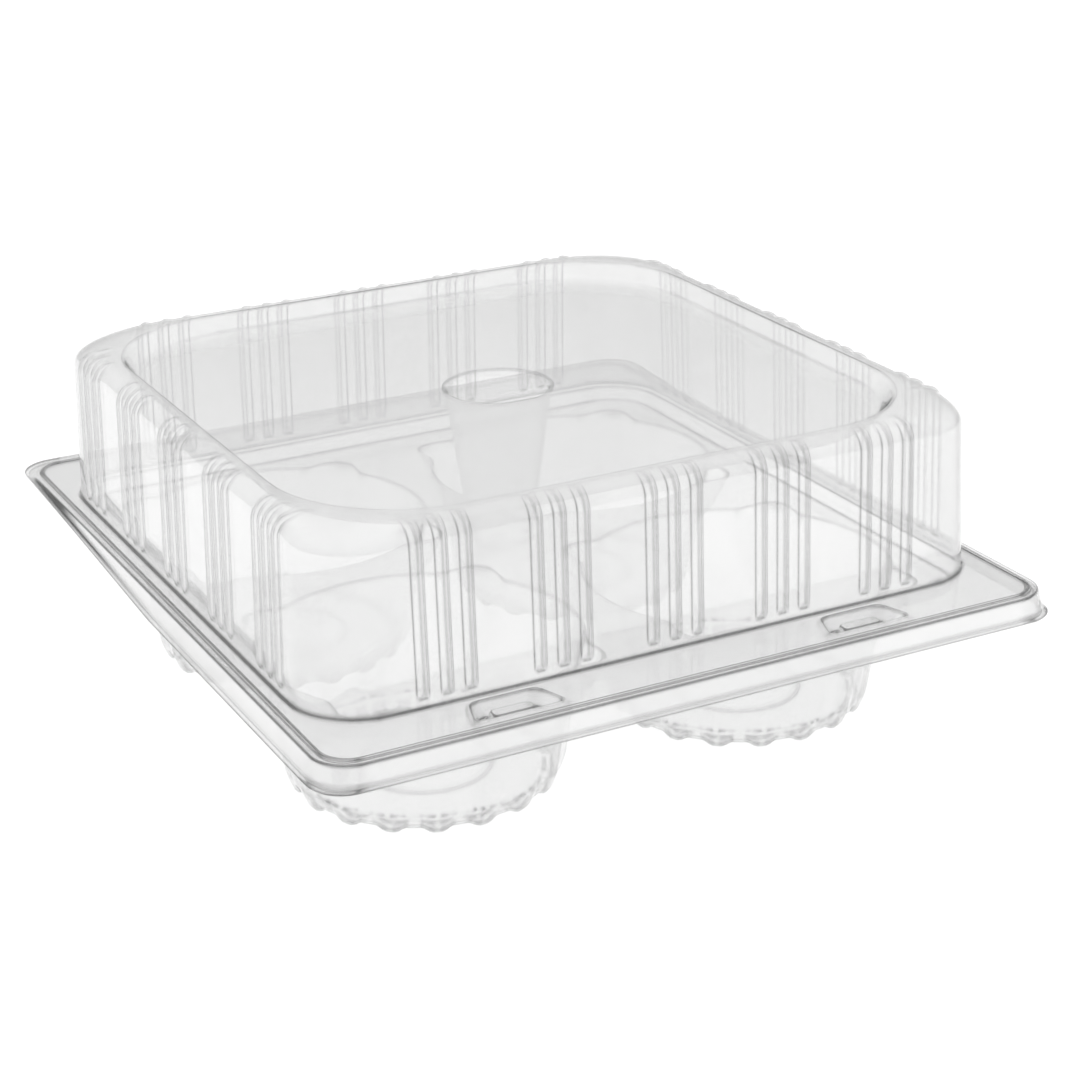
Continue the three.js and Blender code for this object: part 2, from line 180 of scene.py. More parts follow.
# %% Bend the corners of a section
GUARD = 0.3                     # from the end of a bend to its guard row
LONGEST_BEND = 0.42             # the most of a short face that a bend may take, as a share
LONGEST_GUARD = 0.48


def soften(rows, cut, steps=5):
    """Rows with each inner corner rounded: the bend starts `cut` millimetres before the corner."""
    rows = np.asarray(rows, float)
    bent = [rows[0]]
    for last, here, following in zip(rows, rows[1:], rows[2:]):
        shares = []
        for other in (last, following):
            length = np.hypot(*(other - here)[:2])
            start = min(cut / length, LONGEST_BEND)
            shares.append((other, start, min(start + GUARD / length, LONGEST_GUARD)))
        (before, enter, early), (after, leave, late) = shares
        first = here + (before - here) * enter
        final = here + (after - here) * leave
        bent.append(here + (before - here) * early)
        for t in np.linspace(0, 1, steps + 1):
            bent.append((1 - t) ** 2 * first + 2 * t * (1 - t) * here + t ** 2 * final)
        bent.append(here + (after - here) * late)
    bent.append(rows[-1])
    return np.array(bent)


print("one soft corner has", len(soften([[0, 0], [5, 0], [5, 5]], 1)) - 2, "rows")

# %% Rounded rectangle
CORNER_STEPS = 12


def around(half_x, front, back, corner, marks_x, marks_y):
    """Points round a rounded rectangle, with outward directions. A mark past a straight side is put
    on the arc beside it."""
    middle, half_y = (front + back) / 2, (back - front) / 2
    sides = [
        ((0, 1), (1, 0), half_y, half_x, marks_y), ((-1, 0), (0, 1), half_x, half_y, marks_x),
        ((0, -1), (-1, 0), half_y, half_x, marks_y), ((1, 0), (0, -1), half_x, half_y, marks_x),
    ]

    def bend_at(distance, length):
        past = np.clip((np.abs(distance) - (length - corner)) / corner, 0, 1)
        return np.sign(distance) * np.arcsin(past)

    points, outward = [], []
    for number, (along, out, length, reach, marks) in enumerate(sides):
        *_, next_length, _, next_marks = sides[(number + 1) % 4]
        begin = bend_at(marks[-1], length)
        end = math.pi / 2 + bend_at(next_marks[0], next_length)
        corner_bends = np.linspace(begin, end, CORNER_STEPS + 1)[1:-1]
        bends = np.concatenate([bend_at(marks, length), corner_bends])
        distances = np.concatenate([marks, length - corner + corner * np.sin(corner_bends)])
        across = reach - corner + corner * np.cos(bends)
        points.append(np.outer(distances, along) + np.outer(across, out))
        outward.append(np.outer(np.cos(bends), out) + np.outer(np.sin(bends), along))
    return np.concatenate(points) + (0, middle), np.concatenate(outward)


print("each corner has", CORNER_STEPS - 1, "points of its own")

# %% Loops and levels


def rounded_loop(corners, cut, steps=6):
    """A closed loop of corners, each rounded by a short curve."""
    corners = np.asarray(corners, float)
    loop = []
    for last, here, following in zip(np.roll(corners, 1, axis=0), corners, np.roll(corners, -1, axis=0)):
        first = here + (last - here) * cut / np.linalg.norm(last - here)
        final = here + (following - here) * cut / np.linalg.norm(following - here)
        loop += [(1 - t) ** 2 * first + 2 * t * (1 - t) * here + t ** 2 * final
                 for t in np.linspace(0, 1, steps + 1)]
    return np.array(loop)


def circle(radius, count):
    turn = np.arange(count) * 2 * math.pi / count
    return radius * np.column_stack([np.cos(turn), np.sin(turn)])


def level(points, height):
    """Points in plan, lifted to one height."""
    return np.column_stack([points, np.full(len(points), height)])


print("a square loop has", len(rounded_loop([(0, 0), (9, 0), (9, 9), (0, 9)], 1)), "points")

# %% How sharply a surface bends
TIGHT_BEND = 0.62               # a bend of this radius or less counts as 1
SHARP_ANGLE = math.radians(55)  # edges that turn by more are shaded as sharp


def bend_of(mesh):
    """How sharply a surface bends at each point: 0 where it is flat, 1 at the tightest bends."""
    corners = np.zeros(len(mesh.loops), int)
    mesh.loops.foreach_get("vertex_index", corners)
    face_sizes = [len(face.vertices) for face in mesh.polygons]
    face_normals = np.repeat([face.normal for face in mesh.polygons], face_sizes, axis=0)
    point_normals = np.array([point.normal for point in mesh.vertices])
    turn = np.zeros(len(mesh.vertices))
    np.maximum.at(turn, corners, np.linalg.norm(face_normals - point_normals[corners], axis=1))
    points = np.array([point.co for point in mesh.vertices])
    a, b = np.array([edge.vertices for edge in mesh.edges]).T
    length = np.linalg.norm(points[a] - points[b], axis=1)
    shortest = np.full(len(points), np.inf)
    np.minimum.at(shortest, a, length)
    np.minimum.at(shortest, b, length)
    return np.clip(2 * turn / shortest * TIGHT_BEND, 0, 1)


print("bends of", TIGHT_BEND, "mm and less draw the darkest lines")

# %% Formed sheet


def inside(points, loop):
    """Which points lie inside a closed loop, by counting the edges that a line to the right crosses."""
    x, y = points[:, 0, None], points[:, 1, None]
    ax, ay = loop[:, 0], loop[:, 1]
    bx, by = np.roll(ax, -1), np.roll(ay, -1)
    crossed = (ay > y) != (by > y)
    height = np.where(by == ay, 1, by - ay)
    return (crossed & (x < ax + (y - ay) / height * (bx - ax))).sum(axis=1) % 2 == 1


class FormedSheet:
    """The upper side of a sheet, as rings of points. It is closed by its underside and its cut edge."""

    def __init__(self):
        self.rings = []
        self.faces = []
        self.count = 0

    def ring(self, points):
        index = np.arange(self.count, self.count + len(points))
        self.rings.append(np.asarray(points, float))
        self.count += len(points)
        return index

    def band(self, outer, inner):
        quads = np.column_stack([outer, np.roll(outer, -1), np.roll(inner, -1), inner])
        self.faces += quads.tolist()
        return inner

    def bands(self, all_points):
        """Joins rings from the outside in, and returns the first and the last."""
        indices = [self.ring(points) for points in all_points]
        for outer, inner in zip(indices, indices[1:]):
            self.band(outer, inner)
        return indices[0], indices[-1]

    def fill(self, outer, holes=()):
        """Fills the flat face between one ring and the rings inside it."""
        loops = [outer, *holes]
        index = np.concatenate(loops)
        flat = np.concatenate(self.rings)[index][:, :2]
        starts = np.cumsum([0] + [len(loop) for loop in loops])
        edges = [(start + i, start + (i + 1) % len(loop))
                 for start, loop in zip(starts, loops) for i in range(len(loop))]
        made, _, triangles, origin, _, _ = delaunay_2d_cdt([Vector(p) for p in flat], edges, [], 1, 1e-5)
        made = np.array(made)
        triangles = np.array(triangles)
        middles = made[triangles].mean(axis=1)
        keep = inside(middles, flat[:len(outer)])
        for start, loop in zip(starts[1:], holes):
            keep &= ~inside(middles, flat[start:start + len(loop)])
        first = np.array([index[ids[0]] for ids in origin])
        self.faces += first[triangles[keep]].tolist()

    def close(self, name, edge, thickness):
        """The closed mesh object, in metres. Its upper side is offset along the vertex normals."""
        upper = np.concatenate(self.rings)
        draft = bpy.data.meshes.new(name)
        draft.from_pydata(upper.tolist(), [], self.faces)
        draft.update()
        normals = np.array([point.normal for point in draft.vertices])
        bend = bend_of(draft)
        # The trimmed edge is counted as a tight bend, so it gets the painted dark line as well: painted
        # shade for the darkening that refraction gives at the cut.
        bend[edge] = 1                                      # the trimmed edge draws a dark line too
        bpy.data.meshes.remove(draft)
        lower = upper - normals * thickness
        count = self.count
        faces = self.faces + [[i + count for i in reversed(face)] for face in self.faces]
        cut = np.column_stack([np.roll(edge, -1), edge, edge + count, np.roll(edge, -1) + count])
        faces += cut.tolist()
        mesh = bpy.data.meshes.new(name)
        mesh.from_pydata((np.concatenate([upper, lower]) * MM).tolist(), [], faces)
        mesh.polygons.foreach_set("use_smooth", [True] * len(faces))
        materials = np.zeros(len(faces), int)
        materials[-len(cut):] = 1                           # the cut edge
        mesh.polygons.foreach_set("material_index", materials)
        mesh.set_sharp_from_angle(angle=SHARP_ANGLE)
        mesh.update()
        mesh.attributes.new("bend", "FLOAT", "POINT").data.foreach_set(
            "value", np.tile(bend, 2).astype(np.float32))
        piece = bpy.data.objects.new(name, mesh)
        bpy.context.scene.collection.objects.link(piece)
        print(f"{name}: {sum(len(face) - 2 for face in faces)} triangles")
        return piece


print("sheet", WALL, "mm thick, closed by its underside and its cut edge")

# %% [markdown]
# ## Rim and latches, the same on both halves
#
# A skirt hangs from the flange and turns out in a small lip, where the sheet was trimmed. Towards the
# fold the skirt runs out into the flange, because both leaves have to meet there. The latch pockets
# are drawn down in front of the dome, with splayed ends and a raised snap button. Cutting the pockets
# with booleans would leave ragged edges in a thin sheet, so they are rings like the rest, and the flat
# flange is filled around them.

# %% Rim
RIM_MARKS_X = np.linspace(-80, 80, 21)                      # points along the front and the back
RIM_MARKS_Y = np.linspace(-TAPER[1], TAPER[1], 25)          # points along the left and the right
LIP_SHIFT = math.tan(math.pi / 8)                           # per millimetre of offset, at the lip's bend


def rim_rings(under, rows):
    """Rings of the rim, from rows of inset, height above the trimmed edge, and corner radius."""
    top = FLANGE_Z - under
    tuck = under * LIP_SHIFT
    rings = []
    for inset, height, corner in rows:
        points, _ = around(
            TRIM_X - under - inset, -TRIM_Y + under + inset, TRIM_Y - inset + tuck, corner,
            RIM_MARKS_X, RIM_MARKS_Y,
        )
        share = 1 - np.clip((points[:, 1] - TAPER[0]) / (TAPER[1] - TAPER[0]), 0, 1)
        z = TRIM_Z + height
        heights = top - (top - z) * share if z < top else np.full(len(points), z)
        rings.append(np.column_stack([points, heights]))
    return rings


def rim_section(under):
    """Rows of the rim from the trimmed edge to the flange, `under` millimetres inside the lid's."""
    tuck = under * LIP_SHIFT
    corner = TRIM_CORNER - under
    lean = SKIRT_LEAN * SKIRT / (SKIRT - LIP_HEIGHT - RIM_ROUND)
    rows = [
        [tuck, 0, corner],
        [LIP_FLARE, LIP_HEIGHT - tuck, corner],
        [LIP_FLARE + lean, SKIRT - under, corner],
        [FLANGE_EDGE + BEAD_INSET, SKIRT - under, TRIM_CORNER - FLANGE_EDGE],
    ]
    return soften(rows, RIM_ROUND)


print("rim of", len(rim_section(0)), "rings")

# %% Latches
LATCH_BEND = 0.7
LATCH_LEDGE = 0.15              # flat left at the foot of the pocket's wall and of the button
BUTTON_BEND = 0.45


def pocket_loop(centre, grow):
    """Outline of the pocket, offset outwards by `grow`. It is wider in front, so its ends splay."""
    splay = math.atan((LATCH_FRONT - LATCH_BACK) / 2 / (LATCH_BACK_Y - LATCH_FRONT_Y))
    half_back = LATCH_BACK / 2 + grow / math.cos(splay) - grow * math.tan(splay)
    half_front = LATCH_FRONT / 2 + grow / math.cos(splay) + grow * math.tan(splay)
    front, back = LATCH_FRONT_Y - grow, LATCH_BACK_Y + grow
    loop = rounded_loop(
        [(-half_front, front), (half_front, front), (half_back, back), (-half_back, back)], LATCH_CORNER)
    return loop + (centre, 0)


def button_loop(centre, shrink):
    """Outline of the snap button, offset inwards by `shrink`."""
    half_x, half_y = BUTTON_WIDTH / 2 - shrink, BUTTON_LENGTH / 2 - shrink
    middle = (LATCH_FRONT_Y + LATCH_BACK_Y) / 2
    loop = rounded_loop(
        [(-half_x, -half_y), (half_x, -half_y), (half_x, half_y), (-half_x, half_y)],
        min(BUTTON_CORNER, 0.8 * half_y))
    return loop + (centre, middle)


def add_latches(sheet, under):
    """Both latches. Returns the rings where the pockets open in the flange."""
    top = FLANGE_Z - under
    floor = top - LATCH_DEPTH
    mouths = []
    for centre in (-LATCH_OFFSET, LATCH_OFFSET):
        pocket = soften([
            [under + LATCH_BEND + GUARD, top], [under, top],
            [under - LATCH_DRAFT, floor], [under - LATCH_DRAFT - LATCH_LEDGE, floor],
        ], LATCH_BEND)
        mouth, bottom = sheet.bands([level(pocket_loop(centre, grow), z) for grow, z in pocket])
        button = soften([
            [under - LATCH_LEDGE, floor], [under, floor],
            [under + BUTTON_DRAFT, floor + BUTTON_HEIGHT],
            [under + BUTTON_DRAFT + BUTTON_CROWN, floor + BUTTON_HEIGHT],
        ], BUTTON_BEND)
        foot, crown = sheet.bands([level(button_loop(centre, shrink), z) for shrink, z in button])
        sheet.fill(bottom, [foot])
        sheet.fill(crown)
        mouths.append(mouth)
    return mouths


print("latch pockets", LATCH_OFFSET, "mm to each side of the middle,", LATCH_DEPTH, "mm deep")

# %% [markdown]
# ## Lid
#
# A bead stiffens the flange. The dome rises with a slight draft, its ribs run up and bend over the
# shoulder, and they end at the crest. Inside the crest the panel is recessed for stacking, and the
# hollow post is drawn down from its middle. The ribs could be separate bars laid on a plain wall, but
# in a clear sheet every hidden face shows, so each ring of the dome carries them in its own outline.

# %% Ribs


def rib_marks(group_pitch):
    """Distances along one side, with how far the rib has risen there: 0 beside it, 1 on its ridge."""
    marks, rises = [], []
    across = np.concatenate([[-RIB_GUARD], np.linspace(-0.5, 0.5, RIB_POINTS), [RIB_GUARD]])
    ridge = np.cos(np.clip(across, -0.5, 0.5) * math.pi).clip(0, 1) ** RIB_SHARPNESS
    for group in range(GROUPS_ON_SIDE):
        middle = (group - (GROUPS_ON_SIDE - 1) / 2) * group_pitch
        for rib in range(RIBS_IN_GROUP):
            at = middle + (rib - (RIBS_IN_GROUP - 1) / 2) * RIB_PITCH
            marks.append(at + across * RIB_WIDTH)
            rises.append(ridge)
        if group < GROUPS_ON_SIDE - 1:
            marks.append(middle + group_pitch * np.array(PLAIN_WALL))
            rises.append(np.zeros(len(PLAIN_WALL)))
    return np.concatenate(marks), np.concatenate(rises)


MARKS_X, RISES_X = rib_marks(GROUP_PITCH_X)
MARKS_Y, RISES_Y = rib_marks(GROUP_PITCH_Y)
CORNER_REST = np.zeros(CORNER_STEPS - 1)
RISES = np.concatenate([RISES_Y, CORNER_REST, RISES_X, CORNER_REST] * 2)


def ribbed_ring(half, height, corner, rise, lean, gather):
    """One ring of the dome. `gather` draws the marks together where the corner's radius is large."""
    points, outward = around(half, -half, half, corner, MARKS_X * gather, MARKS_Y * gather)
    points = points + outward * (RISES * rise * math.cos(lean))[:, None]
    return np.column_stack([points, height + RISES * rise * math.sin(lean)])


print(len(RISES), "points in a ring of the dome")

# %% Dome and panel
SHOULDER_STEPS = 12
SOFT_BEND = 0.8                 # from the corner to the start of the bend, at the dome's foot and recess


def dome_rows():
    """Rows of half width, height, corner radius, rib rise, lean and gather, from flange to panel."""
    shoulder_foot = CREST_Z - SHOULDER
    wall_height = shoulder_foot - FLANGE_Z

    def half_at(above):
        return DOME_FOOT - DOME_DRAFT * above / wall_height

    foot = soften([
        [DOME_FOOT + 1.5, FLANGE_Z, DOME_CORNER, 0, 0, 1],
        [DOME_FOOT, FLANGE_Z, DOME_CORNER, 0, 0, 1],
        [half_at(RIB_START), FLANGE_Z + RIB_START, DOME_CORNER, 0, 0, 1],
    ], SOFT_BEND)
    run_in = []
    for part in np.linspace(0.2, 1, 5):
        above = RIB_START + RIB_RUN_IN * part
        rise = RIB_HEIGHT * np.sin(part * math.pi / 2)
        run_in.append([half_at(above), FLANGE_Z + above, DOME_CORNER, rise, 0, 1])
    bend = []
    for step in range(SHOULDER_STEPS + 1):
        lean = step / SHOULDER_STEPS * math.pi / 2
        share = 1 - math.cos(lean)
        bend.append([
            half_at(wall_height) - SHOULDER * share,
            shoulder_foot + SHOULDER * math.sin(lean),
            DOME_CORNER + (SHOULDER_CORNER - DOME_CORNER) * share,
            RIB_HEIGHT * (1 - (step / SHOULDER_STEPS) ** 2),
            lean,
            1,
        ])
    land = half_at(wall_height) - SHOULDER - CREST_WIDTH
    recess = soften([
        [land + 0.8, CREST_Z, CREST_CORNER - 1, 0, 0, 1],
        [land, CREST_Z, CREST_CORNER, 0, 0, 0.97],
        [land - RECESS_SLOPE, PANEL_Z, RECESS_CORNER, 0, 0, 0.9],
        [land - RECESS_SLOPE - 2, PANEL_Z, RECESS_CORNER, 0, 0, 0.87],
    ], SOFT_BEND)
    return [*foot, *run_in, *bend, *recess]


POST_POINTS = 96
POST_BEND = 1.5


def post_rows():
    """Rows of radius and height, from the panel down to the post's closed end."""
    wall_slope = (POST_MOUTH - POST_FOOT) / (PANEL_Z - POST_BOTTOM_Z)
    return soften([
        [POST_MOUTH + 2.2, PANEL_Z],
        [POST_MOUTH, PANEL_Z],
        [POST_FOOT + wall_slope, POST_BOTTOM_Z],
        [POST_FOOT - 3.2, POST_BOTTOM_Z],
    ], POST_BEND)


def make_lid():
    sheet = FormedSheet()
    edge, flange = sheet.bands(rim_rings(0, rim_section(0)))
    start = FLANGE_EDGE + BEAD_INSET
    bead = soften([
        [start, SKIRT], [start + 0.15, SKIRT], [start + BEAD_WIDTH / 2, SKIRT + BEAD_HEIGHT],
        [start + BEAD_WIDTH - 0.15, SKIRT], [start + BEAD_WIDTH + 0.3, SKIRT],
    ], 0.25, 3)
    corner = TRIM_CORNER - FLANGE_EDGE
    bead_start, bead_end = sheet.bands(rim_rings(0, [[*row, corner] for row in bead]))
    sheet.band(flange, bead_start)
    latches = add_latches(sheet, 0)
    foot, panel = sheet.bands([ribbed_ring(*row) for row in dome_rows()])
    mouth, bottom = sheet.bands([level(circle(radius, POST_POINTS), z) for radius, z in post_rows()])
    sheet.fill(bead_end, [foot, *latches])
    sheet.fill(panel, [mouth])
    sheet.fill(bottom)
    return sheet.close("lid_sheet", edge, WALL)


lid_sheet = make_lid()

# %% [markdown]
# ## Base
#
# The base's flange nests under the lid's. Inside it a step leads down to the deck, and four cups are
# drawn down from the deck. Their flutes end in rounded feet, the floors are stepped by a ring, and
# relief lobes run down the walls on the diagonals. A cup is a stack of rings too, and its radius in
# each direction is the sum of the wall, a flute and a lobe, less a crease.

# %% Cups


def cup_directions():
    """Directions round a cup in degrees, with 1 on a flute's flat and 0 in the valley between."""
    directions = -90 + np.arange(FLUTES * FLUTE_POINTS) * 360 / (FLUTES * FLUTE_POINTS)
    half_pitch = 180 / FLUTES
    from_middle = np.abs((directions + 90 + half_pitch) % (2 * half_pitch) - half_pitch)
    t = np.clip((FLUTE_EDGE - from_middle) / (FLUTE_EDGE - FLUTE_FLAT), 0, 1)
    return directions, t * t * (3 - 2 * t)


DIRECTIONS, FLUTE = cup_directions()


def lobe(below):
    """How far the relief lobes stand out, in each direction, at a depth below the deck."""
    from_diagonal = np.abs(DIRECTIONS % 90 - 45)
    width = np.where(from_diagonal < LOBE_ANGLE, np.cos(from_diagonal / LOBE_ANGLE * math.pi / 2) ** 2, 0)
    return LOBE_REACH * width * max(0, 1 - (below / LOBE_DEPTH) ** 2)


WALL_ROWS = 5
RIM_END = 3                     # the rows of the rim end this far below the deck
FOOT_GUARD = 2                  # a row of the wall this far above its foot


def cup_rows():
    """Rows of radius, height, flute depth and valley rise, from the deck to the floor."""
    foot_z = base_low[2] + WALL
    wall_foot = foot_z + FOOT_RISE
    top_z = DECK_Z - CUP_RIM_ROUND
    slope = (CUP_RIM - CUP_RIM_ROUND - CUP_WALL_FOOT) / (top_z - wall_foot)

    def wall_at(z, flute):
        return [CUP_WALL_FOOT + slope * (z - wall_foot), z, flute, 0]

    rim_end = DECK_Z - RIM_END
    wall_end = wall_foot + FOOT_GUARD
    rim = soften([[CUP_RIM + 1, DECK_Z, 0, 0], wall_at(DECK_Z, 0), wall_at(rim_end, 0)], 1.0, 4)
    wall = []
    for share in np.linspace(0, 1, WALL_ROWS + 1)[:-1]:
        z = rim_end + (wall_end - rim_end) * share
        wall.append(wall_at(z, FLUTE_DEPTH * share * share))
    floor = soften([
        wall_at(wall_end, FLUTE_DEPTH), wall_at(wall_foot, FLUTE_DEPTH),
        [FOOT_OUTER, foot_z, FLUTE_DEPTH, VALLEY_RISE], [FOOT_INNER, foot_z, 0, VALLEY_RISE],
        [FLOOR_EDGE, FLOOR_Z, 0, 0], [RING_OUTER, FLOOR_Z, 0, 0], [RING_INNER, FLOOR_Z + RING_STEP, 0, 0],
        [RING_INNER - 2, FLOOR_Z + RING_STEP, 0, 0],
    ], 1.0, 2)
    return [*rim[:-1], *wall, *floor]


def crease_shape(centre_x, centre_y):
    """1 on a crease and 0 away from it. The creases are mirrored like the cups."""
    across = DIRECTIONS if centre_x > 0 else 180 - DIRECTIONS
    mirrored = across if centre_y > 0 else -across
    away = [np.abs((mirrored - direction + 180) % 360 - 180) for direction in CREASE_DIRECTIONS]
    return sum(np.exp(-(angle / CREASE_WIDTH) ** 2) for angle in away)


def add_cup(sheet, centre_x, centre_y):
    """One cup. Returns its rim, where it opens in the deck."""
    turn = np.radians(DIRECTIONS)
    creases = crease_shape(centre_x, centre_y)
    rings = []
    for radius, z, flute_depth, valley_rise in cup_rows():
        up_the_wall = np.clip((z - FLOOR_Z) / (DECK_Z - FLOOR_Z), 0, 1)
        reach = radius + flute_depth * FLUTE + lobe(DECK_Z - z)
        reach -= CREASE_DEPTH * creases * math.sin(up_the_wall * math.pi) ** 0.5
        rings.append(np.column_stack([
            centre_x + reach * np.cos(turn), centre_y + reach * np.sin(turn), z + valley_rise * (1 - FLUTE),
        ]))
    rim, floor = sheet.bands(rings)
    sheet.fill(floor)
    return rim


print("each cup has", len(cup_rows()), "rings of", len(DIRECTIONS), "points")

# %% Base tray
DECK_MARKS = np.linspace(-60, 60, 9)


def make_base():
    sheet = FormedSheet()
    edge, flange = sheet.bands(rim_rings(UNDER, rim_section(UNDER)))
    latches = add_latches(sheet, UNDER)
    step = soften([
        [STEP_TOP + 1.2, FLANGE_Z - UNDER, DECK_CORNER],
        [STEP_TOP, FLANGE_Z - UNDER, DECK_CORNER],
        [STEP_TOP - STEP_SLOPE, DECK_Z, DECK_CORNER - STEP_SLOPE],
        [STEP_TOP - STEP_SLOPE - 1.2, DECK_Z, DECK_CORNER - STEP_SLOPE],
    ], SOFT_BEND)
    step_edge, deck_edge = sheet.bands([
        level(around(half, -half, half, corner, DECK_MARKS, DECK_MARKS)[0], z) for half, z, corner in step])
    sheet.fill(flange, [step_edge, *latches])
    rims = [add_cup(sheet, x * CUP_PITCH / 2, y * CUP_PITCH / 2) for x in (-1, 1) for y in (-1, 1)]
    sheet.fill(deck_edge, rims)
    return sheet.close("base_sheet", edge, WALL)


base_sheet = make_base()

# %% [markdown]
# ## Fold
#
# The two halves are one sheet, so a narrow strip bends from the base's leaf to the lid's.

# %% Fold strip
FOLD_HALF_WIDTH = 82.0
FOLD_STEPS = 10
LID_LEAF_Z = FLANGE_Z - WALL / 2
BASE_LEAF_Z = FLANGE_Z - UNDER - WALL / 2


def make_fold():
    """A strip of half rounds, one wall thick, between the middles of the two leaves."""
    middle_z = (LID_LEAF_Z + BASE_LEAF_Z) / 2
    reach = (LID_LEAF_Z - BASE_LEAF_Z) / 2
    turn = np.linspace(-math.pi / 2, math.pi / 2, FOLD_STEPS + 1)
    rows = []
    for radius in (reach + WALL / 2, reach - WALL / 2):
        arc = np.column_stack([TRIM_Y + radius * np.cos(turn), middle_z + radius * np.sin(turn)])
        rows.append(arc if radius > reach else arc[::-1])
    section = np.concatenate(rows)
    count = len(section)
    points = [(x, y, z) for x in (-FOLD_HALF_WIDTH, FOLD_HALF_WIDTH) for y, z in section]
    faces = [(i, (i + 1) % count, (i + 1) % count + count, i + count) for i in range(count)]
    half = count // 2
    for i in range(half - 1):
        j = count - 1 - i
        faces.append((i, j, j - 1, i + 1))
        faces.append((i + count, i + 1 + count, j - 1 + count, j + count))
    mesh = bpy.data.meshes.new("hinge_fold")
    mesh.from_pydata((np.array(points) * MM).tolist(), [], faces)
    mesh.polygons.foreach_set("use_smooth", [True] * len(faces))
    mesh.set_sharp_from_angle(angle=SHARP_ANGLE)
    piece = bpy.data.objects.new("hinge_fold", mesh)
    bpy.context.scene.collection.objects.link(piece)
    return piece


hinge_fold = make_fold()
print("fold strip between leaves at", BASE_LEAF_Z, "and", LID_LEAF_Z, "mm")

# %% [markdown]
# ## Clear plastic
#
# The box is thermoformed from clear PET, a glossy plastic with an index of refraction near 1.57. Most
# of the light goes straight through each side of the sheet. The flatter it is looked along, the more
# of its pale grey body and of its gloss shows. Drawing the hot sheet leaves its thickness uneven.
# A refracting glass shader would be the plain way, but with a dozen thin layers behind each other it
# turns dark and noisy. Here each layer mixes a clear pane, the grey body and a mirror reflection.
# Tight bends and the cut edge are painted dark grey, as painted shade for the dark lines that
# refraction draws in a clear sheet.

# %% Node helpers


def linear(hex_colour, alpha=1.0):
    """A linear colour from an sRGB hex colour."""
    channels = [int(hex_colour[i:i + 2], 16) / 255 for i in (1, 3, 5)]
    return (*[c / 12.92 if c <= 0.04045 else ((c + 0.055) / 1.055) ** 2.4 for c in channels], alpha)


def add_node(tree, kind, inputs=None, **settings):
    """Adds a node with its settings. An input takes a value, or the output socket to link."""
    node = tree.nodes.new(kind)
    for name, value in settings.items():
        setattr(node, name, value)
    for name, value in (inputs or {}).items():
        if isinstance(value, bpy.types.NodeSocket):
            tree.links.new(value, node.inputs[name])
        else:
            node.inputs[name].default_value = value
    return node


SHEET_GREY = "#e7e7e7"
print("sheet grey in linear light:", [round(c, 3) for c in linear(SHEET_GREY)])

# %% PET material
PET_IOR = 1.57
DRAW_WAVE = 22 * MM             # length of the uneven patches that drawing leaves
UNEVEN = 0.15                   # how much the sheet's body varies over them, as a share
GRAZING_POWER = 4.0             # how late the body thickens as the eye comes to look along the sheet
MIRROR_POWER = 5.0              # how late the mirroring grows to full as the eye comes to look along it


